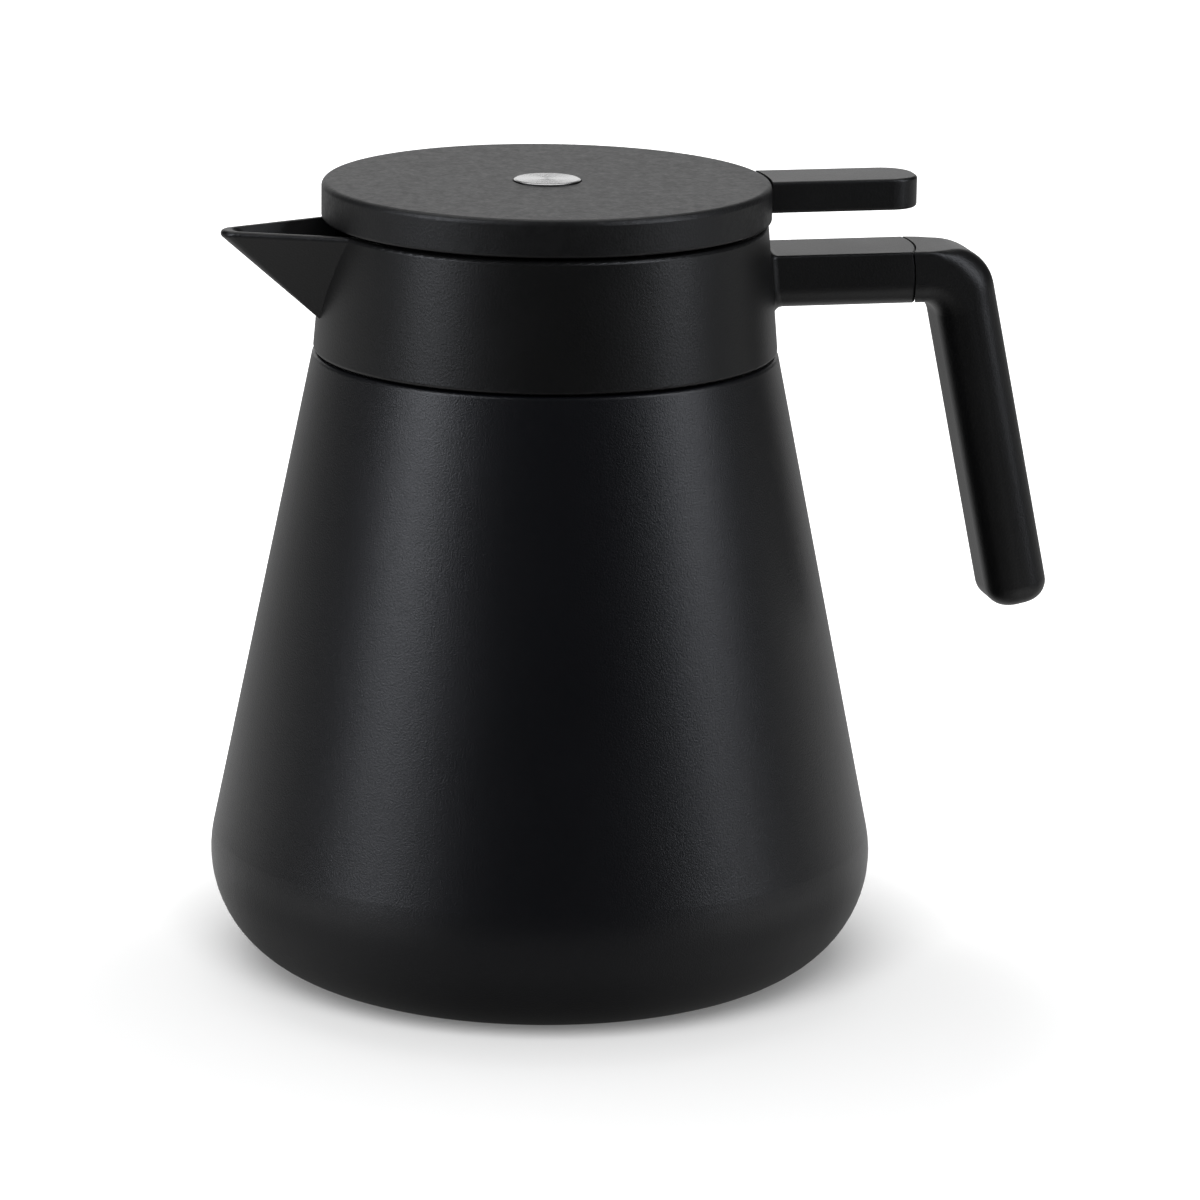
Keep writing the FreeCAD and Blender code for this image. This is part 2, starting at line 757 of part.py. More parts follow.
lid_radius = collar_top_radius + lid_overhang
lid_bottom_z = collar_top_z + lid_gap
lid_top_z = lid_bottom_z + lid_rim_height
cover_under_z = lid_top_z - lid_wall
frame_under_z = lid_bottom_z + frame_rise
frame_top_z = frame_under_z + frame_thickness
lever_top_z = lid_top_z - lever_top_drop
lever_under_z = lid_bottom_z + lever_under_rise
lever_tip_x = lid_radius + lever_length
tongue_half = lever_width / 2 - tongue_inset
plug_ring_outer = plug_radius - plug_wall - tenon_clear
plug_ring_inner = plug_ring_outer - plug_ring_wall
lid_screw_circle = plug_ring_inner - lid_screw_margin - lid_screw_head_radius
lid_boss_radius = lid_screw_radius + lid_boss_wall


def screw_places():
    for i in range(lid_screw_count):
        angle = rad(60 + i * 360 / lid_screw_count)
        yield V(lid_screw_circle * math.cos(angle), lid_screw_circle * math.sin(angle), 0)


def make_lid_cover():
    skirt_inner = lid_radius - lid_wall
    cover = ring(0, lid_radius, lid_bottom_z, lid_top_z)
    cover = cover.makeFillet(lid_top_round, circles_at(cover, lid_radius, lid_top_z))
    cover = cover.makeFillet(lid_bottom_round, circles_at(cover, lid_radius, lid_bottom_z))
    cover = cover.cut(ring(0, skirt_inner, lid_bottom_z, cover_under_z))
    seat = ring(0, button_radius + button_seat_clear, lid_top_z - button_seat_depth, lid_top_z)
    cover = cover.cut(seat)
    for place in screw_places():
        foot = place + UP * frame_top_z
        boss = Part.makeCylinder(lid_boss_radius, cover_under_z - frame_top_z, foot)
        bore = Part.makeCylinder(lid_screw_radius + thread_clear, cover_under_z - frame_top_z, foot)
        cover = cover.fuse(boss).cut(bore)
    notch_half = lever_width / 2 + part_clear
    notch = block((pivot_x, -notch_half, lid_bottom_z), (lid_radius + lid_wall, notch_half, cover_under_z))
    return cover.cut(notch)


def make_lid_button():
    button = ring(0, button_radius, lid_top_z - button_seat_depth, lid_top_z + button_proud)
    return button.makeFillet(button_edge_round, circles_at(button, button_radius, lid_top_z + button_proud))


def make_lever():
    half = lever_width / 2
    bar = block((pivot_x, -half, lever_under_z), (lever_tip_x, half, lever_top_z))
    tip = [e for e in bar.Edges if e.BoundBox.XMin > lever_tip_x - 0.01]
    corners = [e for e in tip if e.BoundBox.YLength < 0.01]
    bar = bar.makeFillet(limited(lever_corner_round, lever_width), corners)
    rims = [e for e in bar.Edges if e.BoundBox.ZLength < 0.01 and e.BoundBox.XMax > lid_radius]
    bar = bar.makeFillet(lever_edge_round, rims)
    bar = bar.cut(ring(0, lid_radius + lever_root_gap, lever_under_z, lever_top_z))
    tongue = block(
        (pivot_x - ear_round, -tongue_half, lever_under_z),
        (lid_radius + lid_wall, tongue_half, cover_under_z - tongue_clear),
    )
    return bar.fuse(tongue)


def make_cheek(low_y, high_y):
    """Hinge cheek: a round end on the pin that widens up to the frame, clear of the collar."""
    eye = rod_y(cheek_round, low_y, high_y, pivot_x, pivot_z)
    front_x = plug_radius + part_clear
    web = Part.Face(Part.makePolygon([
        V(pivot_x - cheek_round, low_y, pivot_z),
        V(pivot_x + cheek_round, low_y, pivot_z),
        V(pivot_x, low_y, frame_under_z - cheek_round),
        V(pivot_x, low_y, frame_under_z),
        V(front_x, low_y, frame_under_z),
        V(front_x, low_y, pivot_z + 2 * cheek_round),
        V(pivot_x - cheek_round, low_y, pivot_z),
    ])).extrude(ACROSS * (high_y - low_y))
    return eye.fuse(web)


def make_spring_bar():
    """Bar between the cheeks, in front of the spring's leaning leg."""
    a = rad(spring_leg_lean)
    away = spring_bar_radius + spring_wire_radius + spring_bar_gap
    centre = spring_leg_point(spring_leg - spring_bar_radius) + V(-math.cos(a), 0, -math.sin(a)) * away
    return rod_y(spring_bar_radius, -cheek_outer_y, cheek_outer_y, centre.x, centre.z)


def make_lid_frame():
    plate_radius = lid_radius - lid_wall - part_clear
    plug_ring_low = frame_under_z - plug_ring_height
    frame = ring(0, plate_radius, frame_under_z, frame_top_z).fuse([
        make_lever(),
        make_cheek(cheek_inner_y, cheek_outer_y),
        make_cheek(-cheek_outer_y, -cheek_inner_y),
        make_spring_bar(),
        ring(plug_ring_inner, plug_ring_outer, plug_ring_low, frame_under_z),
    ])
    for place in screw_places():
        frame = frame.cut(Part.makeCylinder(
            lid_screw_radius + screw_hole_clear, frame_thickness, place + UP * frame_under_z,
        ))
    return frame.cut(rod_y(pin_radius + pin_clear, -ear_inner_y, ear_inner_y, pivot_x, pivot_z))


def make_lid_screws():
    screws = []
    for place in screw_places():
        seat = place + UP * frame_under_z
        head = Part.makeCylinder(lid_screw_head_radius, lid_screw_head_height, seat, -UP)
        shank = Part.makeCylinder(lid_screw_radius, cover_under_z - frame_under_z, seat)
        screws.append(head.fuse(shank).removeSplitter())
    return Part.makeCompound(screws)


plug_nose_radius = spigot_inner - plug_nose_clear
plug_nose_z = stopper_top_z - plug_nose_drop
seal_radius = spigot_outer - seal_inset
seal_low_z = stopper_top_z + seat_gap
seal_top_z = seal_low_z + seal_height


def make_plug_cup():
    inner = plug_radius - plug_wall
    floor = plug_nose_z + plug_wall
    nose_in = plug_nose_radius - plug_wall
    step_in = seal_radius - plug_wall
    return turned([
        (0, plug_nose_z),
        (plug_nose_radius, plug_nose_z),
        (plug_nose_radius, seal_top_z),
        (seal_radius, seal_top_z),
        (plug_radius, seal_top_z + plug_slope),
        (plug_radius, frame_under_z),
        (inner, frame_under_z),
        (inner, seal_top_z + plug_slope + plug_wall),
        (step_in, seal_top_z + plug_wall),
        (nose_in, seal_top_z + plug_wall),
        (nose_in, floor),
        (0, floor),
    ])


def make_plug_foam():
    inner = plug_radius - plug_wall - foam_gap
    floor = plug_nose_z + plug_wall
    nose = plug_nose_radius - plug_wall - foam_gap
    high = frame_under_z - plug_ring_height - foam_gap
    step = seal_top_z + plug_slope + plug_wall + foam_gap
    return turned([(0, floor), (nose, floor), (nose, step), (inner, step), (inner, high), (0, high)])


def make_plug_seal():
    return ring(plug_nose_radius, seal_radius, seal_low_z, seal_top_z)


def spring_gap():
    """Least gap between turns of the coil, measured on points along it."""
    per_turn = 24
    count = per_turn * spring_turns
    points = [spring_point(i / count) for i in range(count + 1)]
    apart = [
        a.distanceToPoint(b)
        for i, a in enumerate(points)
        for b in points[i + per_turn // 2:]
    ]
    return min(apart) - 2 * spring_wire_radius


print("spring's least gap to itself", round(spring_gap(), 2))
os.makedirs("parts", exist_ok=True)
save("outer_shell", make_outer_shell())
save("inner_liner", make_inner_liner())
save("base_plate", make_base_plate())
save("vacuum_seal", make_vacuum_seal())
save("getter", make_getter())
save("foot_ring", make_foot_ring())
save("collar", make_collar())
save("neck_gasket", make_neck_gasket())
save("handle_grip", make_handle_grip())
save("grip_insert", make_grip_insert())
save("grip_screw", make_grip_screw())
save("screw_cap", make_screw_cap())
save("stopper_ring", make_stopper_ring())
save("stopper_gasket", make_stopper_gasket())
save("hinge_pin", make_hinge_pin())
save("lid_spring", make_lid_spring())
save("lid_cover", make_lid_cover())
save("lid_button", make_lid_button())
save("lid_frame", make_lid_frame())
save("lid_screws", make_lid_screws())
save("plug_cup", make_plug_cup())
save("plug_foam", make_plug_foam())
save("plug_seal", make_plug_seal())
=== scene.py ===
import math

import bmesh
import bpy
from mathutils import Euler, Matrix, Vector


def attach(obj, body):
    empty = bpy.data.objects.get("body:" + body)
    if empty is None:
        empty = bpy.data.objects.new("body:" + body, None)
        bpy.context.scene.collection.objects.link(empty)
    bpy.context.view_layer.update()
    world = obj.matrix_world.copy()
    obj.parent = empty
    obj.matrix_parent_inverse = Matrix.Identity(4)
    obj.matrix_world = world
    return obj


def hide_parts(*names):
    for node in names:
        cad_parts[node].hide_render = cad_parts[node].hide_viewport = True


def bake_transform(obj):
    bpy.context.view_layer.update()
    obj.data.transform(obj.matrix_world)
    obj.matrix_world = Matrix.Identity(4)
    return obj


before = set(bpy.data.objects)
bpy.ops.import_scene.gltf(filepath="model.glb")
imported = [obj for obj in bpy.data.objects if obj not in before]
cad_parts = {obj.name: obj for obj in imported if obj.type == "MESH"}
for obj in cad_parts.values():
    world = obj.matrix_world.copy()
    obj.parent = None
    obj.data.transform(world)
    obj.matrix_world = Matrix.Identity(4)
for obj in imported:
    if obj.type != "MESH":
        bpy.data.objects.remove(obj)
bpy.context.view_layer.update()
scene = bpy.context.scene
scene.view_settings.view_transform = "Standard"
mm = 0.001
quarterTurn = math.pi / 2
fullTurn = 2 * math.pi
print("frame loaded:", len(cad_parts), "nodes")


class Wire:  # one output socket; sums and products of wires become Math nodes
    def __init__(self, tree, socket):
        self.tree = tree
        self.socket = socket

    def worked(self, operation, *terms):
        return self.tree.add("ShaderNodeMath", {"operation": operation}, dict(enumerate(terms)))

    def __add__(self, other):
        return self.worked("ADD", self, other)

    def __radd__(self, other):
        return self.worked("ADD", other, self)

    def __sub__(self, other):
        return self.worked("SUBTRACT", self, other)

    def __rsub__(self, other):
        return self.worked("SUBTRACT", other, self)

    def __mul__(self, other):
        return self.worked("MULTIPLY", self, other)

    def __rmul__(self, other):
        return self.worked("MULTIPLY", other, self)

    def __truediv__(self, other):
        return self.worked("DIVIDE", self, other)

    def cosine(self):
        return self.worked("COSINE", self)

    def sine(self):
        return self.worked("SINE", self)

    def unsigned(self):
        return self.worked("ABSOLUTE", self)

    def held(self):  # kept between 0 and 1
        settings = {"operation": "ADD", "use_clamp": True}
        return self.tree.add("ShaderNodeMath", settings, {0: self, 1: 0.0})

    def sibling(self, output):  # another output of the same node
        return Wire(self.tree, self.socket.node.outputs[output])


class Tree:  # any node tree; add() makes a node from its type, settings and sockets
    def __init__(self, nodeTree):
        self.nodeTree = nodeTree

    def add(self, kind, settings=None, sockets=None, output=0):
        node = self.nodeTree.nodes.new(kind)
        for name, value in (settings or {}).items():
            if name == "stops":
                self.setStops(node.color_ramp, value)
            else:
                setattr(node, name, value)
        for key, value in (sockets or {}).items():
            self.feed(node.inputs[key], value)
        return Wire(self, node.outputs[output]) if node.outputs else node

    def setStops(self, ramp, stops):
        while len(ramp.elements) < len(stops):
            ramp.elements.new(1)
        for element, (position, level) in zip(ramp.elements, stops):
            element.position = position
            element.color = grey(level)

    def feed(self, socket, value):
        if isinstance(value, Wire):
            self.nodeTree.links.new(value.socket, socket)
        else:
            socket.default_value = value

    def mixColours(self, share, low, high):
        return self.add("ShaderNodeMix", {"data_type": "RGBA"}, {0: share, 6: low, 7: high}, 2)

    def along(self, place, direction):  # how far the place lies along the direction
        sockets = {0: place, 1: direction}
        return self.add("ShaderNodeVectorMath", {"operation": "DOT_PRODUCT"}, sockets, "Value")

    def eased(self, value, first, last, start, end):  # start to end as the value goes from first to last
        sockets = {0: value, 1: first, 2: last, 3: start, 4: end}
        return self.add("ShaderNodeMapRange", {"interpolation_type": "SMOOTHSTEP"}, sockets)


class Finish(Tree):  # a material round one Principled shader
    def __init__(self, name, constants):
        self.material = bpy.data.materials.new(name)
        self.material.use_nodes = True
        super().__init__(self.material.node_tree)
        self.shader = self.nodeTree.nodes["Principled BSDF"]
        self.place = self.add("ShaderNodeTexCoord", output="Object")
        for socket, value in constants.items():
            self.set(socket, value)

    def set(self, socket, value):
        self.feed(self.shader.inputs[socket], value)

    def tint(self, look, share):
        self.set("Base Color", self.mixColours(share, look["deep"], look["light"]))

    def polish(self, look, share):
        self.set("Roughness", look["roughness"] + look["roughnessSpread"] * (share - 0.5))

    def stretched(self, x, y, z):
        return self.add("ShaderNodeVectorMath", {"operation": "MULTIPLY"}, {0: self.place, 1: (x, y, z)})

    def noise(self, perMetre, detail=2, place=None):
        sockets = {"Vector": place or self.place, "Scale": perMetre, "Detail": detail}
        return self.add("ShaderNodeTexNoise", sockets=sockets)

    def cells(self, perMetre):
        return self.add("ShaderNodeTexVoronoi", sockets={"Vector": self.place, "Scale": perMetre})

    def axisDistance(self, x=0.0, y=0.0):  # from the upright line through x and y
        sockets = {0: self.place, 1: (1, 1, 0), 2: (-x, -y, 0)}
        flat = self.add("ShaderNodeVectorMath", {"operation": "MULTIPLY_ADD"}, sockets)
        return self.add("ShaderNodeVectorMath", {"operation": "LENGTH"}, {0: flat}, "Value")

    def relief(self, *layers):
        normal = None
        for height, depth in layers:
            sockets = {"Height": height, "Distance": depth}
            if normal:
                sockets["Normal"] = normal
            normal = self.add("ShaderNodeBump", sockets=sockets, output="Normal")
        self.set("Normal", normal)


def grey(level, blue=0.0):
    return (level, level, level + blue, 1)


def blended(first, second, share):  # share of the first, the rest of the second
    return share * first + (1 - share) * second


# Sprayed matt paint on the steel: fine powdery grain over a slow ripple
paintLook = {
    "deep": (0.0005, 0.0006, 0.0011, 1), "light": (0.0015, 0.0016, 0.0026, 1),
    "roughness": 0.37, "roughnessSpread": 0.10, "specular": 0.5,
    "grainPerMetre": 2300, "grainDepth": 0.075 * mm, "grainShare": 0.6,
    "ripplePerMetre": 210, "rippleDepth": 0.012 * mm, "cloudPerMetre": 26.25,
}


def makePaint(look):
    paint = Finish("mattPaint", {"Specular IOR Level": look["specular"]})
    grain = paint.noise(look["grainPerMetre"], detail=3)
    ripple = paint.noise(look["ripplePerMetre"])
    cloud = paint.noise(look["cloudPerMetre"], detail=3)
    powder = blended(grain, cloud, look["grainShare"])
    paint.tint(look, powder)
    paint.polish(look, powder)
    paint.relief((ripple, look["rippleDepth"]), (grain, look["grainDepth"]))
    return paint.material


# Moulded black plastic: the fine texture of a spark-eroded mould, with a slow mottle in tone and gloss
plasticLook = {
    "deep": grey(0.0006), "light": grey(0.0024, 0.0002),
    "roughness": 0.41, "roughnessSpread": 0.12, "specular": 0.44,
    "pitsPerMetre": 1500, "pitDepth": 0.02 * mm, "pitShare": 0.5,
    "grainPerMetre": 1900, "grainDepth": 0.03 * mm, "grainShare": 0.5,
    "mottlePerMetre": 55,
}
# The lid's cover: deeper pits, and a coarser speckle in its gloss
lidLook = dict(
    plasticLook, roughness=0.48, roughnessSpread=0.36, specular=0.5, pitDepth=0.03 * mm,
    grainPerMetre=850, grainDepth=0.010 * mm, mottlePerMetre=320,
)


def makePlastic(name, look):
    plastic = Finish(name, {"Specular IOR Level": look["specular"]})
    pits = plastic.cells(look["pitsPerMetre"])
    grain = plastic.noise(look["grainPerMetre"])
    mottle = plastic.noise(look["mottlePerMetre"], detail=4)
    plastic.tint(look, blended(pits, mottle, look["pitShare"]))
    plastic.polish(look, blended(grain, mottle, look["grainShare"]))
    plastic.relief((pits, look["pitDepth"]), (grain, look["grainDepth"]))
    return plastic.material


# Drawn steel of the flask: faint lines round the axis, left by polishing
linerLook = {
    "deep": grey(0.50), "light": grey(0.62), "roughness": 0.27, "roughnessSpread": 0.14,
    "linesPerMetre": 5200, "lineStretch": 0.03, "lineDepth": 0.0012 * mm,
    "stainPerMetre": 40, "lineTint": 0.5, "linePolish": 0.4,
}


def makeDrawnSteel(look):
    steel = Finish("drawnSteel", {"Metallic": 1.0})
    stretch = look["lineStretch"]
    lines = steel.noise(look["linesPerMetre"], place=steel.stretched(stretch, stretch, 1))
    stain = steel.noise(look["stainPerMetre"], detail=3)
    steel.tint(look, blended(lines, stain, look["lineTint"]))
    steel.polish(look, blended(lines, stain, look["linePolish"]))
    steel.relief((lines, look["lineDepth"]))
    return steel.material


# Spun steel of the button: tool marks in circles round the lid's axis
spunLook = {
    "deep": grey(0.41), "light": grey(0.53), "roughness": 0.24, "roughnessSpread": 0.10,
    "marksPerMetre": 7000, "markDepth": 0.006 * mm, "markTint": 0.7,
    "scratchPerMetre": 2600, "scratchDepth": 0.0008 * mm,
}


def makeSpunSteel(look):
    steel = Finish("spunSteel", {"Metallic": 1.0})
    rings = {"W": steel.axisDistance(), "Scale": look["marksPerMetre"], "Detail": 2}
    marks = steel.add("ShaderNodeTexNoise", {"noise_dimensions": "1D"}, rings)
    scratch = steel.noise(look["scratchPerMetre"], detail=3)
    steel.tint(look, blended(marks, scratch, look["markTint"]))
    steel.polish(look, scratch)
    steel.relief((marks, look["markDepth"]), (scratch, look["scratchDepth"]))
    return steel.material


# Bright steel of the pin, the spring wire, the screws and the small fittings
wireLook = {
    "deep": grey(0.42), "light": grey(0.58), "roughness": 0.26, "roughnessSpread": 0.16,
    "grainPerMetre": 1700, "grainDepth": 0.001 * mm,
}
shadeEdgeLook = dict(wireLook, deep=grey(0.012), light=grey(0.030), roughness=0.45)  # the button's side wall, dark as painted shade of the gap round it
brassLook = dict(wireLook, deep=(0.46, 0.30, 0.10, 1), light=(0.66, 0.46, 0.18, 1), roughness=0.32)


def makeTurnedMetal(name, look):
    metal = Finish(name, {"Metallic": 1.0})
    grain = metal.noise(look["grainPerMetre"], detail=4)
    metal.tint(look, grain)
    metal.polish(look, grain)
    metal.relief((grain, look["grainDepth"]))
    return metal.material


# Soft black rubber of the foot and the screw's cap: dull, a little dusty
rubberLook = {
    "deep": grey(0.010), "light": grey(0.022),
    "roughness": 0.82, "roughnessSpread": 0.12, "specular": 0.3,
    "dustPerMetre": 420, "grainPerMetre": 2600, "grainDepth": 0.006 * mm,
}

# Milky silicone of the sealing rings, with a wet sheen
siliconeLook = {
    "deep": (0.50, 0.52, 0.51, 1), "light": (0.64, 0.65, 0.63, 1),
    "roughness": 0.34, "roughnessSpread": 0.10, "specular": 0.5,
    "dustPerMetre": 160, "grainPerMetre": 900, "grainDepth": 0.002 * mm,
}


def makeRubber(name, look):
    rubber = Finish(name, {"Specular IOR Level": look["specular"]})
    dust = rubber.noise(look["dustPerMetre"], detail=5)
    grain = rubber.noise(look["grainPerMetre"])
    rubber.tint(look, dust)
    rubber.polish(look, dust)
    rubber.relief((grain, look["grainDepth"]))
    return rubber.material


# Foam inside the plug: pale open cells
foamLook = {
    "deep": (0.42, 0.38, 0.28, 1), "light": (0.72, 0.68, 0.56, 1), "roughness": 0.95, "specular": 0.2,
    "cellsPerMetre": 900, "cellDepth": 0.25 * mm,
}


def makeFoam(look):
    foam = Finish("paleFoam", {"Roughness": look["roughness"], "Specular IOR Level": look["specular"]})
    cells = foam.cells(look["cellsPerMetre"])
    foam.tint(look, cells)
    foam.relief((cells, look["cellDepth"]))
    return foam.material


mattPaint = makePaint(paintLook)
mouldedBlack = makePlastic("mouldedBlack", plasticLook)
lidBlack = makePlastic("lidBlack", lidLook)
drawnSteel = makeDrawnSteel(linerLook)
spunSteel = makeSpunSteel(spunLook)
brightSteel = makeTurnedMetal("brightSteel", wireLook)
paintedShadeEdge = makeTurnedMetal("paintedShadeEdge", shadeEdgeLook)
turnedBrass = makeTurnedMetal("turnedBrass", brassLook)
dullRubber = makeRubber("dullRubber", rubberLook)
milkySilicone = makeRubber("milkySilicone", siliconeLook)
paleFoam = makeFoam(foamLook)
print("finishes made:", len(bpy.data.materials))

nodeFinish = {
    mattPaint: ["outer_shell", "base_plate"],
    drawnSteel: ["inner_liner"],
    brightSteel: ["vacuum_seal", "getter", "grip_screw", "hinge_pin", "lid_spring", "lid_screws"],
    spunSteel: ["lid_button"],
    mouldedBlack: ["collar", "handle_grip", "stopper_ring", "lid_frame", "plug_cup"],
    lidBlack: ["lid_cover"],
    dullRubber: ["foot_ring", "screw_cap"],
    milkySilicone: ["neck_gasket", "stopper_gasket", "plug_seal"],
    turnedBrass: ["grip_insert"],
    paleFoam: ["plug_foam"],
}
for finish, names in nodeFinish.items():
    for name in names:
        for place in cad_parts[name].material_slots:
            place.material = finish
print("finishes laid on the frame's nodes")


# Pieces of the scene's own
def linked(name, data):
    thing = bpy.data.objects.new(name, data)
    scene.collection.objects.link(thing)
    return thing


def addPiece(name, mesh, finish, body, slot, *nodes):
    piece = linked(name, mesh)
    if finish:
        mesh.materials.append(finish)
    if body:
        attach(piece, body)
    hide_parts(*nodes)
    return piece


def meshAfterModifiers(thing):
    evaluated = thing.evaluated_get(bpy.context.evaluated_depsgraph_get())
    return bpy.data.meshes.new_from_object(evaluated)


def turnedMesh(name, profile, segments):  # turned round Z; the profile starts and ends on the axis
    shape = bmesh.new()
    turns = [fullTurn * i / segments for i in range(segments)]
    rings = []
    for radius, height in profile:
        if radius == 0:
            rings.append([shape.verts.new((0, 0, height))])
            continue
        rings.append([shape.verts.new((radius * math.cos(t), radius * math.sin(t), height)) for t in turns])
    for low, high in zip(rings, rings[1:]):
        for i in range(segments):
            j = (i + 1) % segments
            ring = [low[i % len(low)], low[j % len(low)], high[j % len(high)], high[i % len(high)]]
            shape.faces.new(list(dict.fromkeys(ring)))  # a triangle where a ring is one point
    bmesh.ops.recalc_face_normals(shape, faces=shape.faces)
    for face in shape.faces:
        face.smooth = True
    mesh = bpy.data.meshes.new(name)
    shape.to_mesh(mesh)
    shape.free()
    return mesh


class Growth(Tree):  # a geometry tree with named sizes, run once on a mesh
    def __init__(self, name, sizes):
        self.group = bpy.data.node_groups.new(name, "GeometryNodeTree")
        super().__init__(self.group)
        self.sizes = sizes
        self.sockets = {}
        newSocket = self.group.interface.new_socket
        for way in ("INPUT", "OUTPUT"):
            newSocket("Geometry", in_out=way, socket_type="NodeSocketGeometry")
        for size in sizes:
            self.sockets[size] = newSocket(size, in_out="INPUT", socket_type="NodeSocketFloat")
        self.start = self.group.nodes.new("NodeGroupInput")

    def size(self, name):
        return Wire(self, self.start.outputs[name])

    def grow(self, shape, mesh, finish):
        real = self.add("GeometryNodeRealizeInstances", sockets={"Geometry": shape})
        dressed = self.add("GeometryNodeSetMaterial", sockets={"Geometry": real, "Material": finish})
        self.add("NodeGroupOutput", sockets={"Geometry": dressed})
        holder = linked(self.group.name, mesh)
        modifier = holder.modifiers.new(self.group.name, "NODES")
        modifier.node_group = self.group
        for name, value in self.sizes.items():
            modifier[self.sockets[name].identifier] = value
        grown = meshAfterModifiers(holder)
        holder.modifiers.remove(modifier)
        bpy.data.objects.remove(holder)
        return grown


# Steel button: slightly crowned disc with turned grooves, a bevelled edge and a flat back
buttonPlan = {
    "radius": 8.6 * mm, "low": 205.7 * mm, "high": 207.5 * mm, "crown": 0.06 * mm,
    "bevelWidth": 0.50 * mm, "bevelDrop": 0.26 * mm, "bevelRound": 0.06 * mm,
    "grooves": 30, "grooveDepth": 0.020 * mm, "grooveSteps": 4, "segments": 144,
    "edgeUpright": 0.8,  # a face whose normal is less upright than this gets the painted shade of the side wall
}


def makeButton(plan):
    radius = plan["radius"]
    bend = plan["bevelRound"]
    flat = radius - plan["bevelWidth"]
    rim = plan["high"] - plan["crown"] - plan["bevelDrop"]
    profile = [(0, plan["high"])]
    steps = plan["grooves"] * plan["grooveSteps"]
    for i in range(1, steps + 1):
        share = i / steps
        groove = plan["grooveDepth"] * (1 - math.cos(fullTurn * plan["grooves"] * share)) / 2
        profile.append((flat * share, plan["high"] - plan["crown"] * share ** 2 - groove))
    profile += [(radius - bend, rim), (radius, rim - bend), (radius, plan["low"]), (0, plan["low"])]
    return turnedMesh("steelButton", profile, plan["segments"])


steelButton = addPiece("steelButton", makeButton(buttonPlan), spunSteel, "lid", "stainless", "lid_button")
# Side wall of the button: dark metal as painted shade of the gap round it
steelButton.data.materials.append(paintedShadeEdge)
for face in steelButton.data.polygons:
    face.material_index = 1 if abs(face.normal.z) < buttonPlan["edgeUpright"] else 0

# Hinge spring: one wire that runs up from the bridge, round the pin and out along the lid's bar
springPlan = {
    "pinX": 49.5 * mm, "pinZ": 184.0 * mm, "coilRadius": 2.4 * mm, "wireRadius": 0.4 * mm,
    "sweep": math.radians(1420), "pitch": 1.25 * mm,
    "footLeg": 6.1 * mm, "restLeg": 8.0 * mm, "restLean": math.radians(20),
}
springSteps = {"leg": 6, "coil": 128, "round": 14}


def makeSpring(plan, steps):
    spring = Growth("hingeSpring", plan)
    count = 2 * steps["leg"] + steps["coil"]
    line = spring.add("GeometryNodeCurvePrimitiveLine")
    path = spring.add("GeometryNodeResampleCurve", sockets={"Curve": line, "Count": count + 1})
    step = count * spring.add("GeometryNodeSplineParameter", output="Factor")
    onFoot = (step / steps["leg"]).held()
    onCoil = ((step - steps["leg"]) / steps["coil"]).held()
    onRest = ((step - steps["leg"] - steps["coil"]) / steps["leg"]).held()
    angle = math.pi - onCoil * spring.size("sweep")
    lean = spring.size("restLean")
    rest = onRest * spring.size("restLeg")
    foot = (1 - onFoot) * spring.size("footLeg")
    x = spring.size("pinX") + spring.size("coilRadius") * angle.cosine() - rest * lean.sine()
    y = (onCoil - 0.5) * (spring.size("pitch") * spring.size("sweep") / fullTurn)
    z = spring.size("pinZ") + spring.size("coilRadius") * angle.sine() - foot + rest * lean.cosine()
    point = spring.add("ShaderNodeCombineXYZ", sockets={0: x, 1: y, 2: z})
    wound = spring.add("GeometryNodeSetPosition", sockets={"Geometry": path, "Position": point})
    ring = {"Resolution": steps["round"], "Radius": spring.size("wireRadius")}
    section = spring.add("GeometryNodeCurvePrimitiveCircle", sockets=ring)
    sweep = {"Curve": wound, "Profile Curve": section, "Fill Caps": True}
    wire = spring.add("GeometryNodeCurveToMesh", sockets=sweep)
    return spring.grow(wire, bpy.data.meshes.new("hingeSpringStart"), brightSteel)


springMesh = makeSpring(springPlan, springSteps)
hingeSpring = addPiece("hingeSpring", springMesh, None, None, "stainless", "lid_spring")
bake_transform(hingeSpring)

# Lid screws: domed heads with a cross recess, three in a circle under the lid's plate
screwPlan = {"circle": 30.0 * mm, "seat": 199.0 * mm, "firstAngle": math.radians(60)}
screwShape = {
    "head": 3.0 * mm, "headHeight": 1.6 * mm, "headRound": 0.7 * mm, "roundSteps": 5,
    "shank": 1.25 * mm, "length": 5.5 * mm, "thread": 0.5 * mm, "threadDepth": 0.18 * mm,
    "crossWidth": 0.55 * mm, "crossReach": 1.55 * mm, "crossDepth": 1.0 * mm,
    "segments": 40, "count": 3,
}


def crossMesh(shape):  # plus-shaped prism that opens below the head
    narrow = shape["crossWidth"] / 2
    reach = shape["crossReach"]
    low = -shape["headHeight"] - shape["crossDepth"]
    high = -shape["headHeight"] + shape["crossDepth"]
    arm = [(narrow, narrow), (narrow, reach), (-narrow, reach)]
    outline = []
    for quarter in range(4):
        outline += arm
        arm = [(-y, x) for x, y in arm]
    cross = bmesh.new()
    base = cross.faces.new([cross.verts.new((x, y, low)) for x, y in outline])
    raised = bmesh.ops.extrude_face_region(cross, geom=[base])
    lifted = [v for v in raised["geom"] if isinstance(v, bmesh.types.BMVert)]
    bmesh.ops.translate(cross, vec=(0, 0, high - low), verts=lifted)
    bmesh.ops.recalc_face_normals(cross, faces=cross.faces)
    mesh = bpy.data.meshes.new("crossCutter")
    cross.to_mesh(mesh)
    cross.free()
    return mesh


